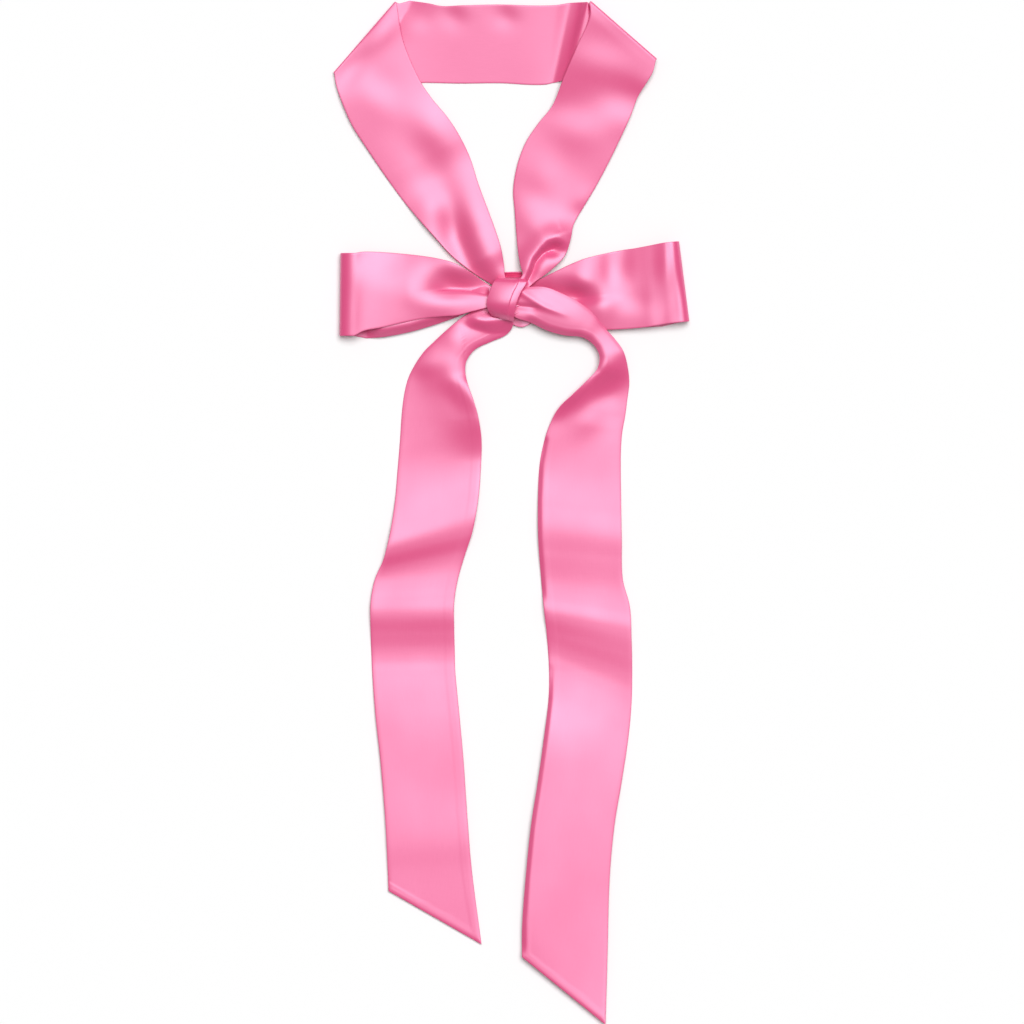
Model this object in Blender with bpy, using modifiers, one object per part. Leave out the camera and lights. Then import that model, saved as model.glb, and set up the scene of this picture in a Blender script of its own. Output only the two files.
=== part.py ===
# Ribbon scarf of pink satin, tied in a bow and laid flat on a table.
# The table is z = 0, the knot is over the origin, +Y runs to the neck and -Y to the tails.
# Every table below is in millimetres; meshes are made in metres.

import math
from collections import namedtuple

import bmesh
import bpy
from mathutils import Vector

MM = 0.001
WALL = 1.2                 # two plies of satin with their loft
SEAM_GAP = 0.3             # between two stretches of the one ribbon
FLAT = WALL / 2            # height of the middle of the wall where it lies on the table
STEP_LONG = 9.5            # spacing of sections where the ribbon lies straight
STEP_SHORT = 5.0           # spacing of sections where the ribbon bends or gathers
ACROSS_PLAIN = 8           # faces across the ribbon where it is smooth
ACROSS_GATHERED = 10       # faces across the ribbon where it is pleated
TURN_STEPS = 6             # faces round a folded-over edge

SATIN = (0.955, 0.262, 0.434, 1.0)

# One section of the ribbon: edge a and edge b seen from above, with their heights,
# and how far the middle bows up.
Row = namedtuple("Row", "ax ay az bx by bz bow", defaults=(0.0,))

# A soft ridge, or a trough of negative height, that runs along the ribbon. It grows from start
# to full and is gone again at end, all shares of the stretch's length. across_start and
# across_end are where it lies at those two places, as shares of the width from edge a.
Fold = namedtuple("Fold", "start full end across_start across_end height width")


def clear_scene():
    for thing in list(bpy.data.objects):
        bpy.data.objects.remove(thing, do_unlink=True)


def satin(name):
    material = bpy.data.materials.new(name)
    material.use_nodes = True
    shader = material.node_tree.nodes["Principled BSDF"]
    shader.inputs["Base Color"].default_value = SATIN
    shader.inputs["Roughness"].default_value = 0.42
    shader.inputs["Metallic"].default_value = 0.0
    return material


def smoothstep(value):
    value = min(max(value, 0.0), 1.0)
    return value * value * (3 - 2 * value)


def centre(row):
    return Vector((row.ax + row.bx, row.ay + row.by, row.az + row.bz)) / 2


def spline_rows(rows, step):
    """Sections every step mm on a smooth curve through the table's rows, with their shares."""
    knots = [0.0]
    for before, after in zip(rows, rows[1:]):
        knots.append(knots[-1] + max((centre(after) - centre(before)).length, 0.5))
    slopes = []
    for i in range(len(rows)):
        low, high = max(i - 1, 0), min(i + 1, len(rows) - 1)
        span = knots[high] - knots[low]
        slopes.append([(q - p) / span for p, q in zip(rows[low], rows[high])])
    made = []
    for i in range(len(rows) - 1):
        span = knots[i + 1] - knots[i]
        pieces = max(1, math.ceil(span / step))
        for k in range(pieces):
            t = k / pieces
            made.append((knots[i] + span * t, Row(*[
                (2 * t**3 - 3 * t**2 + 1) * p + (t**3 - 2 * t**2 + t) * span * mp
                + (3 * t**2 - 2 * t**3) * q + (t**3 - t**2) * span * mq
                for p, q, mp, mq in zip(rows[i], rows[i + 1], slopes[i], slopes[i + 1])])))
    made.append((knots[-1], rows[-1]))
    return [(along / knots[-1], row) for along, row in made]


def fold_height(folds, share, across):
    height = 0.0
    for fold in folds:
        grown = smoothstep((share - fold.start) / (fold.full - fold.start))
        kept = smoothstep((fold.end - share) / (fold.end - fold.full))
        along = (share - fold.start) / (fold.end - fold.start)
        middle = fold.across_start + (fold.across_end - fold.across_start) * along
        height += fold.height * grown * kept * math.exp(-(((across - middle) / fold.width) ** 2))
    return height


def across_points(share, row, folds, count):
    """Points across one section, from edge a to edge b."""
    a, b = Vector((row.ax, row.ay, row.az)), Vector((row.bx, row.by, row.bz))
    points = []
    for i in range(count + 1):
        across = i / count
        lift = row.bow * 4 * across * (1 - across) + fold_height(folds, share, across)
        point = a.lerp(b, across) + Vector((0, 0, lift))
        points.append(Vector((point.x, point.y, max(point.z, FLAT))) * MM)
    return points


def half_turn(row, outward, reach, rise):
    """Rows round a folded-over edge, from the lower layer to the upper one."""
    rows = []
    for k in range(TURN_STEPS + 1):
        angle = math.pi * k / TURN_STEPS
        shift = reach * (math.sin(angle) - 1)
        lift = -rise / 2 * math.cos(angle)
        rows.append(Row(row.ax + outward[0] * shift, row.ay + outward[1] * shift, row.az + lift,
                        row.bx + outward[0] * shift, row.by + outward[1] * shift, row.bz + lift))
    return rows


def ribbon(name, rows, folds=(), step=STEP_SHORT, across=ACROSS_PLAIN):
    """A stretch of ribbon: an open loft through its sections, given its thickness."""
    sections = [across_points(share, row, folds, across) for share, row in spline_rows(rows, step)]
    points = [point for section in sections for point in section]
    wide = across + 1
    faces = [(i * wide + j, (i + 1) * wide + j, (i + 1) * wide + j + 1, i * wide + j + 1)
             for i in range(len(sections) - 1) for j in range(across)]
    mesh = bpy.data.meshes.new(name)
    mesh.from_pydata(points, [], faces)
    mesh.shade_smooth()
    piece = bpy.data.objects.new(name, mesh)
    part_collection.objects.link(piece)
    wall = piece.modifiers.new("Wall", "SOLIDIFY")
    wall.thickness = WALL * MM
    wall.offset = 0.0
    wall.use_even_offset = True
    mesh.materials.append(satin(name + "_satin"))
    return piece


def make_neck():
    left_turn = half_turn(LEFT_FOLD, LEFT_FOLD_OUT, LEFT_FOLD_REACH, LEFT_FOLD_RISE)
    right_turn = half_turn(RIGHT_FOLD, RIGHT_FOLD_OUT, RIGHT_FOLD_REACH, RIGHT_FOLD_RISE)
    ribbon("neck_band", NECK_BAND, step=STEP_LONG)
    ribbon("neck_left", [LEFT_FLAP] + left_turn + NECK_LEFT, NECK_LEFT_FOLDS)
    ribbon("neck_right", [RIGHT_FLAP] + right_turn + NECK_RIGHT, NECK_RIGHT_FOLDS,
           across=ACROSS_GATHERED)


def make_loops():
    left_turn = half_turn(LOOP_LEFT_END, LOOP_LEFT_OUT, LOOP_END_REACH, LOOP_END_RISE)
    right_turn = half_turn(LOOP_RIGHT_END, LOOP_RIGHT_OUT, LOOP_END_REACH, LOOP_END_RISE)
    ribbon("loop_left_front", left_turn + LOOP_LEFT_FRONT, LOOP_LEFT_FOLDS, across=ACROSS_GATHERED)
    ribbon("loop_left_back", LOOP_LEFT_BACK, step=STEP_LONG)
    ribbon("loop_right_front", right_turn + LOOP_RIGHT_FRONT, LOOP_RIGHT_FOLDS, across=ACROSS_GATHERED)
    ribbon("loop_right_back", LOOP_RIGHT_BACK, step=STEP_LONG)


def make_tails():
    ribbon("tail_left", TAIL_LEFT, TAIL_LEFT_FOLDS, STEP_LONG)
    ribbon("tail_right", TAIL_RIGHT, TAIL_RIGHT_FOLDS, STEP_LONG)


def make_knot_body(name, grow):
    """The hidden layers of the knot: a ball, squashed, leaning with the wrap, flat below."""
    mesh = bpy.data.meshes.new(name)
    ball = bmesh.new()
    bmesh.ops.create_uvsphere(ball, u_segments=24, v_segments=12, radius=1.0)
    for vertex in ball.verts:
        y = vertex.co.y * (KNOT_LONG / 2 + grow)
        x = vertex.co.x * (KNOT_WIDE / 2 + grow) + KNOT_X + KNOT_LEAN * y
        z = KNOT_TALL / 2 + vertex.co.z * (KNOT_TALL / 2 + KNOT_SINK + grow)
        vertex.co = Vector((x, y + KNOT_Y, max(z, -4 * grow))) * MM
    bmesh.ops.recalc_face_normals(ball, faces=ball.faces)
    ball.to_mesh(mesh)
    ball.free()
    mesh.shade_smooth()
    return bpy.data.objects.new(name, mesh)


def make_knot():
    core = make_knot_body("knot_core", 0.0)
    core.data.materials.append(satin("knot_core_satin"))
    part_collection.objects.link(core)
    ribbon("knot_band", KNOT_BAND, KNOT_BAND_FOLDS, across=ACROSS_GATHERED)
    ribbon("knot_under", KNOT_UNDER)
    ribbon("knot_tuck", KNOT_TUCK)


def trim_at_knot():
    """Every stretch that runs into the knot stops a seam's gap from its hidden layers."""
    cutter = make_knot_body("knot_clearance", SEAM_GAP)
    cutter.hide_render = True
    cutter.display_type = "WIRE"
    cutter_collection.objects.link(cutter)
    for piece in list(part_collection.objects):
        if piece.name.startswith(("neck_l", "neck_r", "loop", "tail", "knot_tuck")):
            cut = piece.modifiers.new("Knot", "BOOLEAN")
            cut.operation = "DIFFERENCE"
            cut.object = cutter
            cut.solver = "EXACT"


# Knot: the hidden layers
KNOT_WIDE, KNOT_LONG, KNOT_TALL = 17.6, 25.0, 10.2
KNOT_X, KNOT_Y, KNOT_LEAN, KNOT_SINK = -1.2, 0.5, 0.30, 1.2

# Neck band, from under the left corner fold to under the right one; a is its lower edge
NECK_BAND = [
    Row(-98.5, 130.85, FLAT, -66.35, 179.1, FLAT),
    Row(-84.0, 131.0, FLAT, -58.0, 179.4, FLAT),
    Row(-69.0, 131.2, FLAT, -49.0, 179.0, FLAT),
    Row(-50.5, 131.6, FLAT, -40.0, 178.3, FLAT),
    Row(-29.5, 131.2, FLAT, -28.0, 178.0, FLAT + 0.8),
    Row(-5.0, 131.0, FLAT, -5.0, 178.0, FLAT),
    Row(13.5, 130.3, FLAT, 16.5, 178.5, FLAT + 0.6),
    Row(24.5, 131.0, FLAT, 28.5, 179.0, FLAT),
    Row(31.5, 132.5, FLAT, 35.5, 180.0, FLAT),
    Row(47.0, 133.0, FLAT + 0.8, 40.5, 180.2, FLAT + 0.3),
    Row(66.0, 135.2, FLAT + 1.5, 44.2, 179.2, FLAT + 0.6),
    Row(82.85, 138.6, FLAT + 2.2, 47.0, 177.0, FLAT + 0.9),
]

# Left corner: the band turns over, flat and sharp
LEFT_FLAP = Row(-98.75, 131.02, FLAT, -66.6, 179.27, FLAT)
LEFT_FOLD = Row(-105.0, 135.6, FLAT + 1.9, -69.6, 179.8, FLAT + 1.9)
LEFT_FOLD_OUT, LEFT_FOLD_REACH, LEFT_FOLD_RISE = (-0.779, 0.627), 2.4, 3.8

# Left neck stretch, from the corner to the knot; a is its outer edge
NECK_LEFT = [
    Row(-103.6, 127.0, 4.6, -64.0, 156.0, 4.4),
    Row(-101.5, 118.5, 4.0, -54.5, 134.0, 3.6, 0.6),
    Row(-95.0, 105.0, 1.6, -46.0, 122.0, 2.6, 0.8),
    Row(-85.5, 90.5, FLAT, -37.0, 111.0, 1.2, 1.0),
    Row(-74.5, 74.5, FLAT, -29.5, 99.0, FLAT, 1.6),
    Row(-64.0, 60.0, FLAT, -23.0, 85.5, FLAT, 2.4),
    Row(-53.5, 47.0, 0.9, -17.5, 69.5, FLAT, 3.2),
    Row(-42.5, 35.5, 2.2, -11.0, 52.5, 1.2, 3.2),
    Row(-33.5, 26.4, 3.8, -7.4, 41.5, 2.6, 2.6),
    Row(-25.0, 18.8, 5.2, -4.4, 30.5, 4.0, 1.8),
    Row(-17.0, 12.8, 6.2, -2.8, 20.5, 5.2, 0.9),
    Row(-10.5, 9.0, 6.6, -2.2, 14.0, 6.0, 0.4),
    Row(-5.0, 5.0, 6.6, -0.6, 8.0, 6.4),
]
NECK_LEFT_FOLDS = [
    Fold(0.50, 0.82, 1.20, 0.48, 0.54, -2.4, 0.12),
    Fold(0.58, 0.84, 1.20, 0.68, 0.78, 1.0, 0.10),
]

# Right corner: the band lifts, turns over softly and stays open
RIGHT_FLAP = Row(83.05, 138.8, FLAT + 2.2, 47.2, 177.25, FLAT + 0.9)
RIGHT_FOLD = Row(90.3, 145.2, 6.0, 50.0, 180.2, 4.4)
RIGHT_FOLD_OUT, RIGHT_FOLD_REACH, RIGHT_FOLD_RISE = (0.654, 0.757), 3.0, 5.8

# Right neck stretch, from the corner to the knot; a is its outer edge
NECK_RIGHT = [
    Row(87.0, 136.0, 8.6, 49.2, 168.4, 7.2),
    Row(83.5, 131.0, 8.0, 42.0, 153.6, 6.6),
    Row(78.5, 122.5, 7.0, 34.0, 134.0, 5.6),
    Row(74.0, 110.0, 4.6, 27.5, 117.5, 2.6, 0.4),
    Row(68.5, 96.5, 2.4, 18.5, 106.0, FLAT, 0.6),
    Row(61.0, 82.5, 1.0, 11.0, 94.5, FLAT, 0.8),
    Row(53.5, 68.5, FLAT, 6.0, 81.0, FLAT, 1.6),
    Row(46.0, 56.5, FLAT, 3.5, 66.0, 0.8, 2.6),
    Row(41.0, 45.0, 1.6, 4.5, 52.0, 1.8, 3.4),
    Row(38.5, 35.5, 3.4, 5.5, 38.5, 3.2, 3.0),
    Row(34.0, 25.5, 4.8, 6.6, 27.0, 4.6, 2.2),
    Row(25.5, 17.4, 5.8, 8.0, 19.4, 5.6, 1.2),
    Row(17.0, 10.8, 6.4, 9.2, 14.4, 6.2, 0.4),
    Row(11.0, 5.4, 6.6, 6.2, 9.6, 6.6),
]
NECK_RIGHT_FOLDS = [
    Fold(0.62, 0.80, 1.10, 0.30, 0.62, 1.8, 0.14),
    Fold(0.64, 0.80, 1.00, 0.10, 0.40, -2.6, 0.12),
]

# Loop ends: soft half turns
LOOP_END_REACH, LOOP_END_RISE = 4.2, 7.4
LOOP_LEFT_END, LOOP_LEFT_OUT = Row(-102.0, -21.5, FLAT + 3.7, -101.0, 27.0, FLAT + 3.7), (-1.0, 0.0)
LOOP_RIGHT_END, LOOP_RIGHT_OUT = Row(110.2, -14.0, FLAT + 3.7, 104.0, 34.2, FLAT + 3.7), (1.0, 0.1)

# Left loop, upper layer from its end to the knot; a is its lower edge
LOOP_LEFT_FRONT = [
    Row(-89.0, -20.2, 8.0, -89.0, 28.2, 8.6, 1.6),
    Row(-76.0, -17.5, 7.8, -77.0, 28.2, 9.2, 3.0),
    Row(-63.5, -14.5, 7.6, -64.5, 27.2, 9.2, 3.8),
    Row(-50.5, -12.0, 7.4, -52.0, 25.0, 8.4, 3.8),
    Row(-40.5, -11.0, 7.4, -41.5, 22.5, 7.2, 3.2),
    Row(-31.0, -10.5, 7.4, -32.5, 18.4, 6.0, 2.4),
    Row(-22.0, -8.0, 7.4, -23.0, 12.6, 5.2, 1.4),
    Row(-14.0, -6.0, 7.4, -14.5, 8.0, 5.2, 0.6),
    Row(-7.0, -4.0, 7.4, -7.5, 5.0, 5.6),
]
LOOP_LEFT_FOLDS = [
    Fold(0.42, 0.75, 1.30, 0.36, 0.40, 1.2, 0.16),
    Fold(0.42, 0.75, 1.30, 0.72, 0.60, -1.6, 0.10),
]

# Left loop, lower layer on the table; a is its lower edge
LOOP_LEFT_BACK = [
    Row(-97.3, -23.0, FLAT, -96.4, 26.0, FLAT),
    Row(-86.5, -24.2, FLAT, -87.0, 25.6, FLAT),
    Row(-75.5, -23.4, FLAT, -76.0, 25.0, FLAT),
    Row(-60.0, -20.4, FLAT, -61.0, 23.0, FLAT),
    Row(-46.0, -16.4, FLAT, -47.0, 19.5, FLAT),
    Row(-31.5, -11.4, FLAT, -33.0, 14.5, FLAT),
    Row(-18.5, -6.2, FLAT, -19.5, 9.0, FLAT),
    Row(-8.0, -3.2, FLAT, -8.5, 5.0, FLAT),
]

# Right loop, upper layer from its end to the knot; a is its lower edge
LOOP_RIGHT_FRONT = [
    Row(97.5, -15.6, 8.0, 93.5, 33.0, 8.6, 1.6),
    Row(89.5, -17.0, 7.6, 85.5, 31.6, 9.2, 2.4),
    Row(80.5, -18.0, 6.8, 75.5, 30.0, 9.2, 3.0),
    Row(71.5, -18.6, 5.4, 65.5, 28.0, 8.8, 3.0),
    Row(59.0, -19.0, 4.0, 54.5, 26.0, 8.0, 2.2),
    Row(44.0, -18.0, 3.2, 42.0, 22.5, 6.8, 1.2),
    Row(31.5, -14.0, 3.0, 32.5, 18.5, 6.0, 0.8),
    Row(19.5, -8.5, 3.0, 22.5, 13.0, 5.0, 0.4),
    Row(9.0, -2.0, 3.0, 12.0, 7.6, 4.2),
]
LOOP_RIGHT_FOLDS = [
    Fold(0.28, 0.58, 1.10, 0.46, 0.50, -2.4, 0.14),
    Fold(0.35, 0.62, 1.20, 0.78, 0.72, 1.2, 0.14),
]

# Right loop, lower layer on the table; a is its lower edge
LOOP_RIGHT_BACK = [
    Row(105.6, -15.4, FLAT, 99.4, 33.0, FLAT),
    Row(94.0, -17.0, FLAT, 90.0, 31.0, FLAT),
    Row(80.5, -17.6, FLAT, 78.0, 28.5, FLAT),
    Row(59.0, -16.6, FLAT, 57.5, 24.5, FLAT),
    Row(38.0, -11.6, FLAT, 38.0, 18.5, FLAT),
    Row(19.5, -4.6, FLAT, 22.5, 11.0, FLAT),
    Row(8.5, -0.5, FLAT, 11.0, 6.5, FLAT),
]

# Left tail, from the knot to its bias end; a is its left edge
TAIL_LEFT = [
    Row(-9.0, -1.0, 3.6, 1.0, -9.0, 3.6),
    Row(-14.5, -5.0, 3.6, 3.0, -15.6, 3.4),
    Row(-21.5, -8.4, 3.4, -1.0, -22.0, 3.0, 0.8),
    Row(-29.0, -13.0, 3.2, -10.0, -26.2, 2.4, 1.8),
    Row(-38.0, -20.5, 2.6, -18.5, -30.0, 1.8, 3.0),
    Row(-45.0, -27.0, 2.0, -23.0, -34.0, 1.4, 3.8),
    Row(-51.0, -33.0, 1.4, -26.0, -39.5, 1.2, 4.4),
    Row(-56.5, -41.0, 1.0, -26.2, -46.5, 1.0, 4.6),
    Row(-60.5, -49.0, 0.8, -24.5, -53.5, 0.8, 4.4),
    Row(-63.0, -59.0, FLAT, -21.5, -62.0, FLAT, 3.6),
    Row(-64.5, -71.5, FLAT, -18.5, -72.5, FLAT, 2.4),
    Row(-65.5, -86.5, FLAT, -16.5, -86.5, FLAT, 1.0),
    Row(-67.0, -105.0, FLAT, -17.0, -105.0, FLAT, 0.4),
    Row(-68.5, -123.0, FLAT, -18.5, -123.0, FLAT),
    Row(-71.5, -142.5, FLAT, -22.0, -142.5, 0.8, 0.6),
    Row(-75.5, -159.0, 1.2, -27.0, -158.0, 2.2, 0.6),
    Row(-81.0, -172.0, 3.4, -31.0, -172.0, 4.2, 0.4),
    Row(-83.5, -186.0, 4.6, -33.2, -186.0, 4.8),
    Row(-83.5, -201.0, 2.6, -33.2, -201.0, 2.6),
    Row(-83.0, -216.0, FLAT, -32.8, -216.0, FLAT),
    Row(-82.5, -228.0, FLAT, -32.5, -228.0, FLAT, 0.4),
    Row(-80.5, -254.5, FLAT, -30.0, -254.5, FLAT),
    Row(-77.5, -282.0, FLAT, -27.5, -282.0, FLAT),
    Row(-74.5, -318.5, FLAT, -25.0, -318.5, FLAT),
    Row(-73.0, -349.0, FLAT, -21.5, -351.0, FLAT),
    Row(-72.6, -361.5, FLAT, -17.0, -393.5, FLAT),
]
TAIL_LEFT_FOLDS = [
    Fold(-0.02, 0.05, 0.16, 0.40, 0.80, -1.2, 0.16),
]

# Right tail, from the knot over the right loop to its bias end; a is its lower, then left edge
TAIL_RIGHT = [
    Row(0.5, -6.0, 8.0, 6.0, 4.0, 8.0),
    Row(4.4, -11.4, 8.0, 12.0, 6.2, 8.2, 0.8),
    Row(13.6, -14.6, 7.6, 22.0, 6.4, 8.8, 1.6),
    Row(24.0, -19.6, 6.8, 31.5, 3.0, 9.0, 2.2),
    Row(35.0, -22.6, 5.6, 42.5, -2.5, 9.2, 2.8),
    Row(44.0, -23.4, 4.6, 54.0, -11.0, 9.0, 3.2),
    Row(50.0, -26.2, 3.8, 62.0, -18.5, 8.0, 3.6),
    Row(54.4, -31.0, 3.2, 68.0, -25.0, 5.4, 4.0),
    Row(56.2, -36.5, 2.6, 72.4, -32.0, 3.2, 4.4),
    Row(54.6, -43.5, 2.2, 74.4, -41.0, 1.6, 4.8),
    Row(48.0, -50.8, 1.8, 74.5, -51.2, 0.8, 5.0),
    Row(39.5, -59.0, 1.4, 73.0, -62.0, FLAT, 4.4),
    Row(31.5, -66.8, 1.0, 71.5, -72.0, FLAT, 3.4),
    Row(26.5, -75.6, 0.8, 69.5, -81.5, FLAT, 2.4),
    Row(22.5, -87.0, FLAT, 68.6, -91.0, FLAT, 1.4),
    Row(19.6, -102.0, FLAT, 68.4, -102.5, FLAT, 0.6),
    Row(18.6, -123.0, FLAT, 68.6, -123.0, FLAT),
    Row(18.8, -147.5, FLAT, 69.0, -147.5, FLAT),
    Row(20.4, -169.5, 1.0, 69.6, -171.0, 0.8, 0.4),
    Row(22.0, -187.5, 3.6, 74.0, -188.5, 2.6, 0.4),
    Row(24.0, -205.5, 2.4, 75.0, -208.5, 3.6),
    Row(25.4, -227.0, FLAT, 75.4, -228.0, 1.4),
    Row(25.0, -245.0, FLAT, 75.0, -247.5, FLAT),
    Row(22.5, -266.5, FLAT, 73.0, -268.5, FLAT),
    Row(18.6, -294.5, FLAT, 69.0, -295.0, FLAT),
    Row(14.2, -323.0, FLAT, 64.4, -323.0, FLAT),
    Row(11.0, -355.0, FLAT, 61.5, -356.5, FLAT),
    Row(9.0, -382.0, FLAT, 60.4, -398.0, FLAT),
    Row(8.2, -400.5, FLAT, 59.0, -441.5, FLAT),
]
TAIL_RIGHT_FOLDS = [
    Fold(-0.02, 0.05, 0.16, 0.60, 0.45, 1.2, 0.16),
]

# Wrap over the knot, from the neck side to the tail side; a is its left edge
KNOT_BAND = [
    Row(-5.8, 14.2, 8.8, 9.2, 14.0, 9.2, 0.6),
    Row(-7.0, 11.8, 10.4, 10.6, 11.6, 10.8, 1.0),
    Row(-8.4, 9.2, 11.2, 11.0, 9.0, 11.8, 1.2),
    Row(-11.1, 3.2, 11.4, 7.3, 2.6, 12.8, 1.6),
    Row(-12.7, -3.0, 10.6, 4.6, -4.5, 12.6, 1.8),
    Row(-12.0, -7.2, 9.0, 3.6, -10.5, 10.8, 1.6),
    Row(-9.8, -10.6, 7.0, 2.9, -14.2, 7.8, 1.0),
]

KNOT_BAND_FOLDS = [
    Fold(-0.60, 0.40, 1.40, 0.70, 0.74, -0.7, 0.07),
    Fold(-0.60, 0.40, 1.40, 0.88, 0.90, 0.5, 0.08),
]

# The same wrap where it goes down between the two neck stretches
KNOT_UNDER = [
    Row(-1.3, 13.8, 7.4, 7.9, 13.8, 7.4),
    Row(-1.4, 15.0, 5.4, 7.9, 15.2, 5.4),
    Row(-1.4, 15.4, 2.6, 7.9, 15.6, 2.6),
    Row(-1.4, 15.4, FLAT, 7.9, 15.6, FLAT),
]

# The tongue below the knot
KNOT_TUCK = [
    Row(-2.0, -12.0, 1.4, 0.0, -6.5, 1.4),
    Row(4.0, -16.4, 1.6, 4.0, -9.0, 1.6),
    Row(9.0, -17.4, 2.0, 8.6, -10.6, 2.0),
    Row(13.6, -15.4, 1.8, 12.8, -11.6, 1.8),
]

clear_scene()
part_collection = bpy.data.collections.new("ribbon_scarf")
cutter_collection = bpy.data.collections.new("cutters")
bpy.context.scene.collection.children.link(part_collection)
bpy.context.scene.collection.children.link(cutter_collection)
make_neck()
make_loops()
make_tails()
make_knot()
trim_at_knot()
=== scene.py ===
import math
from collections import namedtuple

import bpy
import numpy as np
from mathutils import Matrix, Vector


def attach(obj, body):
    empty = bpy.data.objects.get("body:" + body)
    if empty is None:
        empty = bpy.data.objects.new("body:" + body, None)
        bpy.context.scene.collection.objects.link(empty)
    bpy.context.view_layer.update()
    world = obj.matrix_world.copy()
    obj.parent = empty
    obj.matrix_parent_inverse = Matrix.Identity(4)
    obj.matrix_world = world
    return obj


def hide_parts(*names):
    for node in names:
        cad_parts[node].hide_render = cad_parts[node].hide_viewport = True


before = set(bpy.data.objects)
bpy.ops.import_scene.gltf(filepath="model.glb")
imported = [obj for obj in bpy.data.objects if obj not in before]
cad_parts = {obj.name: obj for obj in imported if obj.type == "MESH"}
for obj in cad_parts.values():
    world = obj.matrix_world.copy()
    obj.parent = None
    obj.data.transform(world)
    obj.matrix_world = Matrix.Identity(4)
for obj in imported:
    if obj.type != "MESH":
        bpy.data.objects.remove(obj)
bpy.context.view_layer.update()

# Neck stretch of the ribbon.
# A pressed tube of pink satin, two plies, 50 mm wide. It lies flat behind the neck, turns over at a
# corner on each side and runs down to the knot. One length of cloth, so it is one piece here.
MM = 0.001
PLY_PAIR = 0.75            # thickness of the two plies, mm
FLAT = PLY_PAIR / 2        # height of the middle of the cloth where it lies on the table
LOOSE = FLAT + 0.8         # the same where it lies loosely
FINE = 1.5                 # spacing of the sections along the ribbon, mm
SHORTEST = 0.5             # least spacing of two rows, mm
WARPS = 60                 # faces across the ribbon
PLACES = 601               # places that are weighed to spread those faces
PLEAT_CROWD = 2            # how many more faces there are at a pleat
PLEAT_FADE = 0.22          # share of the width over which a pleat's step dies away
CRISP_TIP = 0.4            # radius that blunts the top of a crisp crease, mm
CRISP_WIDE = 0.6           # width of a crisp crease beside a soft one
TURN_STEPS = 18            # faces round a folded-over edge
TO_WINDOW = (0.42, 0.91)   # the side that the light comes from, seen from above
TINY = 1e-9

# One row of a table, in mm from the knot: edge a, edge b and how far the middle bows up.
Row = namedtuple("Row", "ax ay az bx by bz bow", defaults=(0.0,))
# A step that grows from start to full and is gone at end, all shares of the length. It lies at
# across_start and across_end, shares of the width, and draws the cloth together by its tuck.
Pleat = namedtuple("Pleat", "start full end across_start across_end tuck drop width")
# A ridge along a line, or a trough if its height is negative, with a width on either side. It
# fades out over a share of its far end.
Crease = namedtuple("Crease", "line left right height crisp fade", defaults=(0.5,))
# A patch that leans away from the window, or towards it if the slope is negative.
Lean = namedtuple("Lean", "x y long wide angle slope")


def smoothstep(value):
    value = np.clip(value, 0.0, 1.0)
    return value * value * (3 - 2 * value)


def smooth_between(start, stop, start_slope, stop_slope, gap, t):
    """A smooth curve from start to stop that keeps both slopes, at the share t of the gap."""
    return ((2 * t**3 - 3 * t**2 + 1) * start + (t**3 - 2 * t**2 + t) * gap * start_slope
            + (3 * t**2 - 2 * t**3) * stop + (t**3 - t**2) * gap * stop_slope)


def sections(rows, step):
    """Sections every step mm on a smooth curve through the rows, and their shares of its length."""
    table = np.array(rows, float)
    middle = (table[:, 0:3] + table[:, 3:6]) / 2
    gaps = np.maximum(np.linalg.norm(np.diff(middle, axis=0), axis=1), SHORTEST)
    knots = np.concatenate([[0.0], np.cumsum(gaps)])
    last = len(rows) - 1
    before = [max(i - 1, 0) for i in range(last + 1)]
    after = [min(i + 1, last) for i in range(last + 1)]
    slopes = (table[after] - table[before]) / (knots[after] - knots[before])[:, None]
    shares, made = [], []
    for i in range(last):
        count = max(1, math.ceil(gaps[i] / step))
        for k in range(count):
            t = k / count
            shares.append((knots[i] + gaps[i] * t) / knots[-1])
            made.append(smooth_between(table[i], table[i + 1], slopes[i], slopes[i + 1],
                                       gaps[i], t))
    return np.array(shares + [1.0]), np.array(made + [table[-1]])


def strength(pleat, share):
    """How much of a pleat there is at a share of the length: none, growing, all, fading."""
    grown = smoothstep((share - pleat.start) / (pleat.full - pleat.start))
    return grown * smoothstep((pleat.end - share) / (pleat.end - pleat.full))


def pleat_place(pleat, share):
    along = (share - pleat.start) / (pleat.end - pleat.start)
    place = pleat.across_start + (pleat.across_end - pleat.across_start) * along
    return min(max(place, 2 * pleat.width), 1 - 2 * pleat.width)


def places_across(pleats, share):
    """Shares of the width for the points of a section, closer together at the pleats."""
    even = np.linspace(0, 1, PLACES)
    crowd = np.ones(PLACES)
    for pleat in pleats:
        crowd += PLEAT_CROWD * (abs(even - pleat_place(pleat, share)) < pleat.width)
    filled = np.cumsum(crowd) - crowd[0]
    return np.interp(np.linspace(0, filled[-1], WARPS + 1), filled, even)


def on_table(grid):
    """The grid with no point lower than the cloth can lie."""
    grid[:, :, 2] = np.maximum(grid[:, :, 2], FLAT)
    return grid


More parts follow.
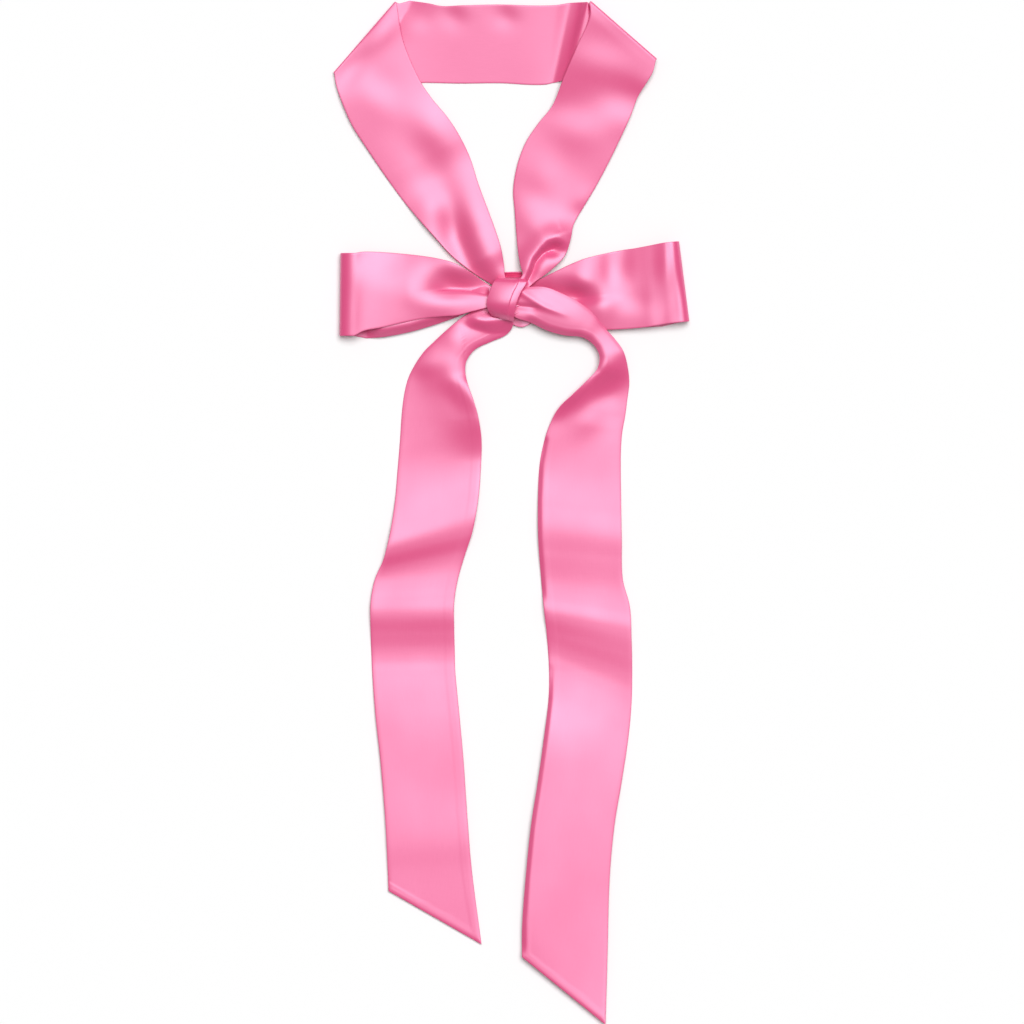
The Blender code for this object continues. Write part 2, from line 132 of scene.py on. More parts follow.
def cloth_rows(rows, pleats=(), step=FINE):
    """Middle of the cloth as a grid of points in mm: sections along it, points across it."""
    grid = []
    for share, row in zip(*sections(rows, step)):
        a, b, bow = row[0:3], row[3:6], row[6]
        across = places_across(pleats, share)
        lift = bow * 4 * across * (1 - across)
        slide = np.zeros_like(across)
        for pleat in pleats:
            much = strength(pleat, share)
            t = (across - pleat_place(pleat, share)) / pleat.width
            near = np.clip(t, -1, 1)
            fade = np.exp(-np.maximum(np.abs(t) - 1, 0) * pleat.width / PLEAT_FADE)
            slide -= np.sin(np.pi * near) * pleat.tuck * much
            lift -= np.sin(np.pi / 2 * near) * pleat.drop / 2 * much * fade
        side = (b - a) / max(np.linalg.norm(b - a), TINY)
        points = a + np.outer(across, b - a) + np.outer(slide, side)
        points[:, 2] += lift
        grid.append(points)
    return on_table(np.array(grid))


def creased(grid, creases):
    """The grid with soft ridges and troughs along lines seen from above."""
    made = grid.copy()
    place = grid[:, :, :2]
    for crease in creases:
        line = np.array(crease.line, float)
        lengths = np.linalg.norm(np.diff(line, axis=0), axis=1)
        nearest = np.full(place.shape[:2], np.inf)
        side = np.zeros(place.shape[:2])
        along = np.zeros(place.shape[:2])
        for k, (start, stop) in enumerate(zip(line, line[1:])):
            run = stop - start
            t = np.clip(((place - start) @ run) / (run @ run), 0, 1)
            gap = place - start - t[:, :, None] * run
            far = np.linalg.norm(gap, axis=2)
            closer = far < nearest
            nearest = np.where(closer, far, nearest)
            side = np.where(closer, run[0] * gap[:, :, 1] - run[1] * gap[:, :, 0], side)
            reached = (lengths[:k].sum() + t * lengths[k]) / lengths.sum()
            along = np.where(closer, reached, along)
        width = np.where(side > 0, crease.left, crease.right)
        soft = np.exp(-(nearest / width) ** 2)
        blunt = np.sqrt(nearest**2 + CRISP_TIP**2) - CRISP_TIP
        crisp = np.exp(-blunt / (CRISP_WIDE * width))
        fading = smoothstep((1 - along) / crease.fade)
        made[:, :, 2] += crease.height * fading * (soft * (1 - crease.crisp) + crisp * crease.crisp)
    return on_table(made)


def leaned(grid, leans):
    """The grid with soft patches that lean away from the window or towards it."""
    made = grid.copy()
    for lean in leans:
        x, y = grid[:, :, 0] - lean.x, grid[:, :, 1] - lean.y
        turn = math.radians(lean.angle)
        along = x * math.cos(turn) + y * math.sin(turn)
        across = y * math.cos(turn) - x * math.sin(turn)
        soft = np.exp(-(along / lean.long) ** 2 - (across / lean.wide) ** 2)
        made[:, :, 2] += lean.slope * (x * TO_WINDOW[0] + y * TO_WINDOW[1]) * soft
    return on_table(made)


def folded(rows, creases=(), leans=(), pleats=()):
    """The middle of the cloth through the rows, with its pleats, creases and leaning patches."""
    return leaned(creased(cloth_rows(rows, pleats), creases), leans)


def half_turn(row, outward, reach, rise):
    """Rows round a folded-over edge, from the lower layer to the upper one."""
    rows = []
    for k in range(TURN_STEPS + 1):
        angle = math.pi * k / TURN_STEPS
        shift = reach * (math.sin(angle) - 1)
        lift = -rise / 2 * math.cos(angle)
        rows.append(Row(row.ax + outward[0] * shift, row.ay + outward[1] * shift, row.az + lift,
                        row.bx + outward[0] * shift, row.by + outward[1] * shift, row.bz + lift))
    return rows


def satin(name, pink, shade):
    """Satin: long floats of the warp give a soft streaked shine over the weft picks."""
    material = bpy.data.materials.new(name)
    material.use_nodes = True
    nodes, links = material.node_tree.nodes, material.node_tree.links
    shader = nodes["Principled BSDF"]
    shader.inputs["IOR"].default_value = 1.8
    shader.inputs["Specular IOR Level"].default_value = 1.0
    shader.inputs["Specular Tint"].default_value = (0.95, 0.78, 1.0, 1.0)
    shader.inputs["Anisotropic"].default_value = 0.55
    shader.inputs["Sheen Weight"].default_value = 0.10
    shader.inputs["Sheen Roughness"].default_value = 0.45
    shader.inputs["Sheen Tint"].default_value = (1.0, 0.72, 0.90, 1.0)

    cloth = nodes.new("ShaderNodeUVMap")
    cloth.uv_map = "ribbon"
    tangent = nodes.new("ShaderNodeTangent")
    tangent.direction_type = "UV_MAP"
    tangent.uv_map = "ribbon"
    links.new(tangent.outputs["Tangent"], shader.inputs["Tangent"])

    def stretched(scale_across, scale_along, detail):
        """Noise drawn out along or across the ribbon, with so many grains to the metre."""
        size = nodes.new("ShaderNodeMapping")
        size.inputs["Scale"].default_value = (scale_across, scale_along, 1.0)
        links.new(cloth.outputs["UV"], size.inputs["Vector"])
        grain = nodes.new("ShaderNodeTexNoise")
        grain.inputs["Scale"].default_value = 1.0
        grain.inputs["Detail"].default_value = detail
        links.new(size.outputs["Vector"], grain.inputs["Vector"])
        return grain.outputs["Fac"]

    floats = stretched(1600.0, 130.0, 2.0)           # single warp floats
    picks = stretched(60.0, 1100.0, 1.0)             # weft picks under them
    cloud = stretched(22.0, 14.0, 2.0)               # where the hand has pressed it

    colour = nodes.new("ShaderNodeMix")
    colour.data_type = "RGBA"
    colour.inputs["A"].default_value = pink
    colour.inputs["B"].default_value = shade
    spread = nodes.new("ShaderNodeMapRange")
    spread.inputs["From Min"].default_value = 0.35
    spread.inputs["From Max"].default_value = 0.75
    spread.inputs["To Min"].default_value = 0.0
    spread.inputs["To Max"].default_value = 0.35
    links.new(floats, spread.inputs["Value"])
    links.new(spread.outputs["Result"], colour.inputs["Factor"])
    links.new(colour.outputs["Result"], shader.inputs["Base Color"])

    gloss = nodes.new("ShaderNodeMapRange")
    gloss.inputs["From Min"].default_value = 0.3
    gloss.inputs["From Max"].default_value = 0.7
    gloss.inputs["To Min"].default_value = 0.40
    gloss.inputs["To Max"].default_value = 0.47
    links.new(cloud, gloss.inputs["Value"])
    links.new(gloss.outputs["Result"], shader.inputs["Roughness"])

    weave = nodes.new("ShaderNodeMath")
    weave.operation = "ADD"
    links.new(floats, weave.inputs[0])
    links.new(picks, weave.inputs[1])
    raised = nodes.new("ShaderNodeBump")
    raised.inputs["Strength"].default_value = 0.16
    raised.inputs["Distance"].default_value = 0.05 * MM
    links.new(weave.outputs["Value"], raised.inputs["Height"])
    links.new(raised.outputs["Normal"], shader.inputs["Normal"])
    return material


PINK = (0.82, 0.078, 0.240, 1.0)                           # the warp floats
DEEP_PINK = (0.76, 0.058, 0.195, 1.0)                      # the cloth between them
pink_satin = satin("pink_satin", PINK, DEEP_PINK)

EDGE_LOW = [math.radians(turn) for turn in (-60, -30)]     # points round a long edge, lower half
EDGE_HIGH = [math.radians(turn) for turn in (30, 60)]      # and upper half
END_TURNS = (0.15, 0.6, 1.1)                               # rings round a cut end, radians


def direction(arrows):
    return arrows / np.maximum(np.linalg.norm(arrows, axis=-1, keepdims=True), TINY)


def from_edge_a(grid):
    """How far each point is from edge a, over the cloth."""
    steps = np.linalg.norm(np.diff(grid, axis=1), axis=2)
    return np.concatenate([np.zeros((len(grid), 1)), np.cumsum(steps, axis=1)], axis=1)


def cloth_piece(name, grid, nodes):
    """A closed thin shell of satin on the grid, with rounded edges all round, for the nodes."""
    along, across = direction(np.gradient(grid, axis=0)), direction(np.gradient(grid, axis=1))
    up = direction(np.cross(across, along))
    half = PLY_PAIR / 2
    spine = np.linalg.norm(np.diff(grid.mean(axis=1), axis=0), axis=1)
    run = np.concatenate([[0], np.cumsum(spine)])
    wide = from_edge_a(grid)

    def ring(i, beyond, thick):
        """Round one section: from edge a along the underside to edge b, and back along the top."""
        middle = grid[i] + along[i] * beyond
        rise = up[i] * half * thick

        def rounded(edge, turns):
            out = across[i][edge] * (1 if edge else -1) * half
            return [middle[edge] + out * math.cos(turn) + rise[edge] * math.sin(turn)
                    for turn in turns]

        points = rounded(0, [0] + EDGE_LOW[::-1]) + list(middle - rise)
        points += rounded(-1, EDGE_LOW + [0] + EDGE_HIGH)
        points += list((middle + rise)[::-1]) + rounded(0, EDGE_HIGH[::-1])
        at_a, at_b = [-half], [wide[i][-1] + half]
        u = at_a * (1 + len(EDGE_LOW)) + list(wide[i])
        u += at_b * (len(EDGE_LOW) + 1 + len(EDGE_HIGH))
        u += list(wide[i][::-1]) + at_a * len(EDGE_HIGH)
        return points, [(place, run[i] + beyond) for place in u]

    ends = [(half * math.cos(turn), math.sin(turn)) for turn in END_TURNS]
    rings = [ring(0, -beyond, thick) for beyond, thick in ends]
    rings += [ring(i, 0, 1) for i in range(len(grid))]
    rings += [ring(len(grid) - 1, beyond, thick) for beyond, thick in reversed(ends)]
    size = len(rings[0][0])
    points = [point for ring_points, _ in rings for point in ring_points]
    places = [place for _, ring_places in rings for place in ring_places]
    faces = []
    for start in range(0, (len(rings) - 1) * size, size):
        for j in range(size):
            after = (j + 1) % size
            faces.append((start + j, start + after, start + size + after, start + size + j))
    for start, way in ((0, -1), ((len(rings) - 1) * size, 1)):
        for j in range(size // 2):
            face = [start + j, start + j + 1, start + size - j - 1, start + (size - j) % size]
            faces.append(tuple(dict.fromkeys(face[::way])))
    mesh = bpy.data.meshes.new(name)
    mesh.from_pydata([tuple(point * MM) for point in points], [], faces)
    uv = mesh.uv_layers.new(name="ribbon")
    corners = np.empty(len(mesh.loops), int)
    mesh.loops.foreach_get("vertex_index", corners)
    uv.data.foreach_set("uv", (np.array(places)[corners] * MM).astype(np.float32).ravel())
    mesh.shade_smooth()
    mesh.materials.append(pink_satin)
    piece = bpy.data.objects.new(name, mesh)
    bpy.context.scene.collection.objects.link(piece)
    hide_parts(*nodes)
    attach(piece, "root")
    return piece


# Each corner fold has its way out, its reach past the row and its height.
LEFT_FLAP = Row(-98.75, 131.02, FLAT, -66.6, 179.27, FLAT)
LEFT_FOLD = Row(-106.1, 137.4, FLAT + 1.4, -68.8, 180.4, FLAT + 1.4)
LEFT_FOLD_OUT, LEFT_FOLD_REACH, LEFT_FOLD_RISE = (-0.770, 0.638), 0.5, 2.8
NECK_LEFT = [
    Row(-104.4, 129.5, 3.3, -64.0, 156.0, 3.4, 0.3),
    Row(-100.6, 118.5, 2.9, -54.8, 134.0, 3.0, 0.6),
    Row(-94.6, 105.0, 2.4, -46.8, 121.6, 2.6, 0.8),
    Row(-85.3, 90.5, 1.8, -37.6, 110.6, 2.0, 1.0),
    Row(-74.5, 74.5, 1.2, -29.9, 98.8, 1.4, 1.4),
    Row(-64.0, 60.0, 0.9, -23.4, 85.3, 1.0, 1.6),
    Row(-53.2, 47.0, 3.0, -18.3, 69.3, 2.4, 1.8),
    Row(-43.0, 35.6, 5.4, -12.0, 52.3, 4.0, 1.8),
    Row(-34.6, 26.4, 7.4, -8.0, 41.3, 5.6, 1.6),
    Row(-25.6, 18.8, 8.8, -4.6, 30.5, 6.6, 1.0),
    Row(-17.0, 12.8, 8.4, -2.8, 20.5, 6.2, 0.6),
    Row(-10.5, 9.0, 7.8, -2.2, 14.0, 6.6, 0.4),
    Row(-5.0, 5.0, 7.0, -0.6, 8.0, 6.6),
]
NECK_LEFT_CREASES = [
    Crease([(-12, 4), (-24, 19), (-31.0, 36), (-40, 72)], 11.0, 9.2, -6.2, 0.0),
]
NECK_LEFT_LEANS = [
    Lean(-43.3, 91.0, 22, 14, -58, 0.20),
    Lean(-36.0, 72.0, 16, 10, -62, 0.08),
    Lean(-44.5, 61.0, 13, 11, -58, -0.10),
    Lean(-79.3, 126.9, 15, 11, -56, -0.08),
    Lean(-86.0, 151.0, 22, 8, 50, 0.15),
]
NECK_BAND = [
    Row(-84.0, 131.0, FLAT, -60.0, 181.0, FLAT),
    Row(-69.0, 131.2, FLAT, -49.0, 179.4, LOOSE + 1.7),
    Row(-50.5, 131.6, FLAT, -40.0, 177.6, LOOSE + 3.1),
    Row(-29.5, 131.2, FLAT, -28.0, 178.0, LOOSE + 3.9),
    Row(-5.0, 131.4, FLAT, -5.0, 178.5, LOOSE + 4.0),
    Row(13.5, 130.4, FLAT, 16.5, 177.9, LOOSE + 3.8),
    Row(22.5, 130.5, FLAT, 29.0, 178.2, LOOSE + 3.0),
    Row(27.0, 131.4, FLAT, 36.4, 179.4, LOOSE + 1.9),
    Row(29.0, 131.8, FLAT + 0.4, 39.0, 179.6, LOOSE + 2.1),
    Row(33.4, 132.8, 2.4, 44.5, 179.9, 4.8),
    Row(38.0, 133.6, 4.2, 48.0, 179.9, 7.6),
    Row(60.0, 135.0, 3.4, 48.8, 179.4, 7.4),
]
NECK_BAND_LEANS = [
    Lean(-31.1, 175.5, 8, 8, 0, 0.15),
    Lean(0.6, 175.5, 8, 8, 0, 0.14),
    Lean(-58.0, 169.6, 11, 9, 0, -0.08),
]
RIGHT_FLAP = Row(83.05, 138.8, 2.4, 48.0, 178.45, 6.2)
RIGHT_FOLD = Row(90.4, 145.8, 4.4, 50.6, 180.5, 8.0)
RIGHT_FOLD_OUT, RIGHT_FOLD_REACH, RIGHT_FOLD_RISE = (0.654, 0.757), 0.8, 3.8
NECK_RIGHT = [
    Row(88.2, 138.4, 6.0, 50.0, 170.5, 9.6),
    Row(84.0, 131.0, 5.6, 42.6, 153.6, 8.0),
    Row(78.8, 122.5, 4.4, 34.2, 134.0, 5.6),
    Row(74.0, 110.0, 3.4, 27.5, 117.5, 3.2, 0.2),
    Row(67.8, 96.5, 2.6, 18.5, 106.0, 2.4, 0.3),
    Row(60.8, 82.2, 2.1, 11.0, 94.5, 2.0, 0.4),
    Row(53.3, 68.1, 1.7, 6.0, 81.0, 1.7, 0.8),
    Row(46.0, 55.9, 1.6, 3.5, 66.0, 1.4, 1.6),
    Row(39.8, 45.0, 2.2, 4.5, 52.0, 1.8, 2.2),
    Row(37.8, 35.5, 3.4, 5.5, 38.5, 3.0, 2.2),
    Row(34.0, 25.2, 4.8, 6.6, 27.0, 4.4, 1.8),
    Row(25.5, 16.6, 5.8, 8.0, 19.4, 5.6, 1.2),
    Row(17.0, 10.4, 6.4, 9.2, 14.4, 6.2, 0.4),
    Row(11.0, 5.4, 6.6, 6.2, 9.6, 6.6),
]
NECK_RIGHT_CREASES = [
    Crease([(9, 9), (14.0, 24), (22.6, 34.6), (32.6, 39.6), (52, 44.0)], 8.0, 3.4, 3.2, 0.1),
    Crease([(11.6, 9.8), (14.6, 15.5), (16.9, 22), (21.4, 27.6), (38, 35)], 2.0, 3.0, -3.2, 0.6),
]
NECK_RIGHT_LEANS = [
    Lean(54.0, 118.0, 26, 20, 60, -0.10),
    Lean(58.0, 148.0, 20, 16, 0, -0.12),
    Lean(71.4, 114.7, 13, 12, 0, -0.06),
    Lean(41.5, 107.4, 14, 12, 0, -0.06),
    Lean(19.5, 66.0, 16, 12, 90, 0.08),
    Lean(43.0, 55.0, 9, 6, 60, 0.09),
    Lean(13.4, 40.5, 12, 9, 80, 0.12),
    Lean(31.0, 31.4, 6, 4.4, 35, 0.80),
]

left_turn = half_turn(LEFT_FOLD, LEFT_FOLD_OUT, LEFT_FOLD_REACH, LEFT_FOLD_RISE)
right_turn = half_turn(RIGHT_FOLD, RIGHT_FOLD_OUT, RIGHT_FOLD_REACH, RIGHT_FOLD_RISE)
neck_left = folded([LEFT_FLAP] + left_turn + NECK_LEFT, NECK_LEFT_CREASES, NECK_LEFT_LEANS)
neck_band = folded(NECK_BAND, leans=NECK_BAND_LEANS)
neck_right = folded([RIGHT_FLAP] + right_turn + NECK_RIGHT, NECK_RIGHT_CREASES, NECK_RIGHT_LEANS)
neck_cloth = cloth_piece("neck_cloth", np.vstack([neck_left[::-1], neck_band, neck_right]),
                         ["neck_band", "neck_left", "neck_right"])

# Bow loops.
# Each loop is the same ribbon, led out of the knot along the table, round a soft end and back over
# itself, where it is pleated into the knot.
LOOP_END_RISE = 7.6        # height of the soft end between the two layers, mm
LOOP_LEFT_END = Row(-102.4, -22.8, FLAT + 3.7, -101.8, 27.0, FLAT + 3.7)
LOOP_LEFT_OUT, LOOP_LEFT_REACH = (-1.0, 0.0), 8.5
LOOP_LEFT_BACK = [
    Row(-86.5, -24.2, FLAT, -87.0, 25.6, FLAT),
    Row(-75.5, -23.4, FLAT, -76.0, 25.0, FLAT),
    Row(-60.0, -20.4, FLAT, -61.0, 23.0, FLAT),
    Row(-46.0, -16.4, FLAT, -47.0, 19.5, FLAT),
    Row(-31.5, -11.4, FLAT, -33.0, 14.5, FLAT),
    Row(-18.5, -6.2, FLAT, -19.5, 9.0, FLAT),
    Row(-8.0, -3.2, FLAT, -8.5, 5.0, FLAT),
]
LOOP_LEFT_UNDER = [
    Crease([(-16, -1), (-30, -5), (-46, -10.5), (-60, -15), (-75, -18), (-88, -19)],
           5.0, 8.0, 5.6, 0.0, 0.15),
]
LOOP_LEFT_FRONT = [
    Row(-88.0, -19.8, 8.2, -88.0, 27.8, 6.8, 0.6),
    Row(-77.0, -17.7, 7.8, -78.0, 27.6, 5.6, 1.4),
    Row(-63.5, -14.5, 7.4, -64.5, 26.6, 5.2, 2.4),
    Row(-50.5, -12.0, 7.2, -52.0, 25.2, 6.2, 2.6),
    Row(-40.5, -11.0, 7.2, -41.5, 23.4, 7.2, 2.2),
    Row(-31.0, -10.3, 7.4, -32.5, 20.8, 7.6, 1.4),
    Row(-22.0, -8.0, 7.4, -23.0, 15.4, 7.2, 0.8),
    Row(-14.0, -6.0, 7.4, -14.5, 9.4, 6.4, 0.4),
    Row(-7.0, -4.0, 7.4, -7.5, 5.0, 6.0),
]
LOOP_LEFT_PLEATS = [
    Pleat(0.58, 0.80, 1.40, 0.42, 0.60, 1.0, 2.2, 0.07),
]
LOOP_LEFT_CREASES = [
    Crease([(-7, 7.6), (-24, 6.8), (-38, 5.6), (-62, 3.0)], 7.0, 9.0, -4.2, 0.15),
]
LOOP_LEFT_LEANS = [
    Lean(-32.0, 13.6, 13, 9, -14, 0.38),
    Lean(-79.0, 15.0, 14, 12, 0, -0.07),
    Lean(-53.7, -4.3, 13, 9, 0, 0.08),
]
LOOP_RIGHT_END = Row(110.2, -14.0, FLAT + 3.7, 104.0, 34.2, FLAT + 3.7)
LOOP_RIGHT_OUT, LOOP_RIGHT_REACH = (1.0, 0.1), 6.0
LOOP_RIGHT_BACK = [
    Row(94.0, -17.0, FLAT, 90.0, 31.0, FLAT),
    Row(80.5, -17.6, FLAT, 78.0, 28.5, FLAT),
    Row(59.0, -16.6, FLAT, 57.5, 24.5, FLAT),
    Row(38.0, -11.6, FLAT, 38.0, 18.5, FLAT),
    Row(19.5, -4.6, FLAT, 22.5, 11.0, FLAT),
    Row(8.5, -0.5, FLAT, 11.0, 6.5, FLAT),
]
LOOP_RIGHT_FRONT = [
    Row(98.0, -15.2, 8.1, 94.6, 33.2, 7.9, 0.5),
    Row(90.0, -16.6, 6.8, 86.5, 31.6, 6.8, 0.8),
    Row(82.0, -17.7, 5.4, 78.0, 30.0, 5.6, 1.0),
    Row(74.0, -18.4, 4.6, 70.5, 28.9, 5.0, 1.2),
    Row(66.0, -18.9, 4.2, 63.0, 27.5, 5.6, 1.4),
    Row(57.0, -19.0, 4.4, 54.5, 25.6, 7.0, 1.6),
    Row(48.0, -18.2, 4.2, 46.0, 23.3, 7.8, 1.6),
    Row(38.0, -16.0, 3.8, 37.0, 19.6, 7.4, 1.4),
    Row(28.0, -12.4, 3.4, 29.0, 15.8, 6.6, 1.0),
    Row(19.5, -8.5, 3.0, 22.5, 12.6, 5.8, 0.6),
    Row(9.0, -2.0, 3.0, 12.0, 7.6, 4.8),
]
LOOP_RIGHT_CREASES = [
    Crease([(10, 4), (26, 1), (42, 0), (74, 4)], 9.0, 5.0, -3.6, 0.1),
]
LOOP_RIGHT_LEANS = [
    Lean(43.5, 5.5, 9, 7, 0, 0.42),
    Lean(61.0, 8.0, 17, 10, 80, -0.24),
    Lean(75.0, -6.0, 13, 8, 0, -0.08),
    Lean(98.0, 8.0, 22, 7, 85, 0.15),
    Lean(31.0, 17.0, 14, 5, 22, -0.08),
]

left_end = half_turn(LOOP_LEFT_END, LOOP_LEFT_OUT, LOOP_LEFT_REACH, LOOP_END_RISE)
left_under = folded(LOOP_LEFT_BACK, LOOP_LEFT_UNDER)
left_over = folded(left_end + LOOP_LEFT_FRONT, LOOP_LEFT_CREASES, LOOP_LEFT_LEANS, LOOP_LEFT_PLEATS)
left_loop = cloth_piece("left_loop_cloth", np.vstack([left_under[::-1], left_over]),
                        ["loop_left_front", "loop_left_back"])
right_end = half_turn(LOOP_RIGHT_END, LOOP_RIGHT_OUT, LOOP_RIGHT_REACH, LOOP_END_RISE)
right_under = folded(LOOP_RIGHT_BACK)
right_over = folded(right_end + LOOP_RIGHT_FRONT, LOOP_RIGHT_CREASES, LOOP_RIGHT_LEANS)
right_loop = cloth_piece("right_loop_cloth", np.vstack([right_under[::-1], right_over]),
                         ["loop_right_front", "loop_right_back"])

# Tails.
# The two ends of the ribbon run down from the knot, each with one soft wave where it was picked up
# and set down, and end in a slanted cut with the edges turned in and sewn shut.
SEAM_ALLOWANCE = 5.5       # width of the cloth turned in along the seam, mm
SEAM_EASE = 1.2            # width over which the ply climbs on it
SEAM_STEP = 0.07           # how far it raises the ply over it
PUFF = 0.15                # how far the plies stand apart between the pressed edges
PRESSED = 1.8              # width over which they close to the edge

# A level line across the ribbon: where it meets each edge, and its height.
Wave = namedtuple("Wave", "a b height")


def waved(grid, waves):
    """The grid with lengthwise waves, whose lines cross the cloth from edge a to edge b."""
    lines = np.array(waves, float)
    lines = lines[np.argsort(lines[:, 0])]
    made = grid.copy()
    for j in range(grid.shape[1]):
        share = j / (grid.shape[1] - 1)
        at = lines[:, 0] + (lines[:, 1] - lines[:, 0]) * share
        slopes = np.gradient(lines[:, 2], at)
        y = np.clip(grid[:, j, 1], at[0], at[-1])
        i = np.clip(np.searchsorted(at, y) - 1, 0, len(at) - 2)
        gap = at[i + 1] - at[i]
        made[:, j, 2] += smooth_between(lines[i, 2], lines[i + 1, 2], slopes[i], slopes[i + 1],
                                        gap, (y - at[i]) / gap)
    return on_table(made)


def sewn_tail(grid, seam_at_b):
    """A tail with pressed edges, its plies lifted over the allowances of the seam and the end."""
    from_a = from_edge_a(grid)
    from_b = from_a[:, -1:] - from_a
    steps = np.linalg.norm(np.diff(grid, axis=0), axis=2)
    from_end = np.concatenate([np.cumsum(steps[::-1], axis=0)[::-1], np.zeros((1, grid.shape[1]))])
    from_edge = np.minimum(np.minimum(from_a, from_b), from_end)
    from_seam = np.minimum(from_b if seam_at_b else from_a, from_end)
    grid[:, :, 2] += PUFF * smoothstep(from_edge / PRESSED)
    inside = SEAM_ALLOWANCE + SEAM_EASE / 2 - from_seam
    grid[:, :, 2] += SEAM_STEP * smoothstep(inside / SEAM_EASE)
    return grid


TAIL_LEFT = [
    Row(-9.0, -1.0, 3.6, 1.0, -9.0, 3.6),
    Row(-14.5, -5.0, 3.6, 3.0, -15.6, 3.4),
    Row(-21.5, -8.4, 3.4, -1.0, -22.0, 3.0, 0.8),
    Row(-29.0, -13.0, 3.2, -10.0, -26.2, 2.4, 1.8),
    Row(-38.0, -20.5, 2.6, -18.5, -30.0, 1.8, 2.4),
    Row(-45.0, -27.0, 2.0, -23.0, -34.0, 1.4, 2.9),
    Row(-51.0, -33.0, 1.4, -26.0, -39.5, 1.2, 3.0),
    Row(-56.5, -41.0, 1.0, -26.2, -46.5, 1.4, 2.6),
    Row(-60.5, -49.0, 0.8, -24.5, -53.5, 3.2, 1.4),
    Row(-63.0, -59.0, FLAT, -21.5, -62.0, 3.9, 0.6),
    Row(-64.5, -71.5, FLAT, -18.5, -72.5, 3.0, 0.5),
    Row(-65.5, -86.5, FLAT, -16.5, -86.5, 1.8, 0.4),
    Row(-67.0, -105.0, FLAT, -17.0, -105.0, 0.8),
    Row(-68.5, -123.0, FLAT, -18.5, -123.0, FLAT),
    Row(-71.5, -142.5, FLAT, -22.0, -142.5, FLAT),
    Row(-75.5, -159.0, FLAT, -27.0, -158.0, FLAT),
    Row(-81.0, -172.0, FLAT, -31.0, -172.0, FLAT),
    Row(-83.5, -186.0, FLAT, -33.2, -186.0, FLAT),
    Row(-83.5, -201.0, FLAT, -33.2, -201.0, FLAT),
    Row(-83.0, -216.0, FLAT, -32.8, -216.0, FLAT),
    Row(-82.5, -228.0, FLAT, -32.5, -228.0, FLAT),
    Row(-80.5, -254.5, FLAT, -30.0, -254.5, FLAT),
    Row(-77.5, -282.0, FLAT, -27.5, -282.0, FLAT),
    Row(-74.5, -318.5, FLAT, -25.0, -318.5, FLAT),
    Row(-73.0, -349.0, FLAT, -22.2, -351.0, FLAT),
    Row(-72.6, -361.5, FLAT, -16.5, -393.7, FLAT),
]
TAIL_LEFT_WAVES = [
    Wave(-88.0, -66.0, 0.0),
    Wave(-105.0, -86.5, 0.1),
    Wave(-123.0, -105.0, 1.0),
    Wave(-141.0, -122.0, 2.7),
    Wave(-150.5, -134.0, 3.7),
    Wave(-157.0, -144.0, 3.2),
    Wave(-164.5, -154.5, 1.9),
    Wave(-170.5, -164.5, 1.4),
    Wave(-178.0, -174.5, 1.6),
    Wave(-184.0, -183.0, 2.05),
    Wave(-191.0, -190.5, 2.4),
    Wave(-194.5, -194.0, 2.25),
    Wave(-204.5, -204.0, 1.15),
    Wave(-214.0, -213.5, 0.28),
    Wave(-219.0, -218.5, 0.1),
    Wave(-222.5, -221.5, 0.1),
    Wave(-228.0, -227.5, 0.4),
    Wave(-239.0, -238.0, 1.0),
    Wave(-252.5, -251.5, 1.5),
    Wave(-300.0, -300.0, 1.8),
    Wave(-335.0, -332.0, 2.0),
    Wave(-350.0, -347.0, 1.5),
    Wave(-372.0, -372.0, 1.1),
    Wave(-400.0, -400.0, 0.8),
]
TAIL_LEFT_CREASES = [
    Crease([(2, -21.5), (-10, -22), (-22, -19), (-36, -14)], 10.0, 3.4, -1.7, 0.1),
    Crease([(2, -12.5), (-14, -13.8), (-26, -11.5)], 3.6, 4.5, 2.0, 0.1, 0.3),
    Crease([(-24, -44), (-21.5, -58), (-18.5, -74), (-17, -100)], 12.0, 15.0, 2.4, 0.0),
]
TAIL_LEFT_LEANS = [
    Lean(-53.7, -43.9, 10, 9, 0, 0.12),
    Lean(-35.0, -27.0, 10, 7, 30, 0.11),
    Lean(-31.5, -57.0, 13, 8, -62, 0.12),
]
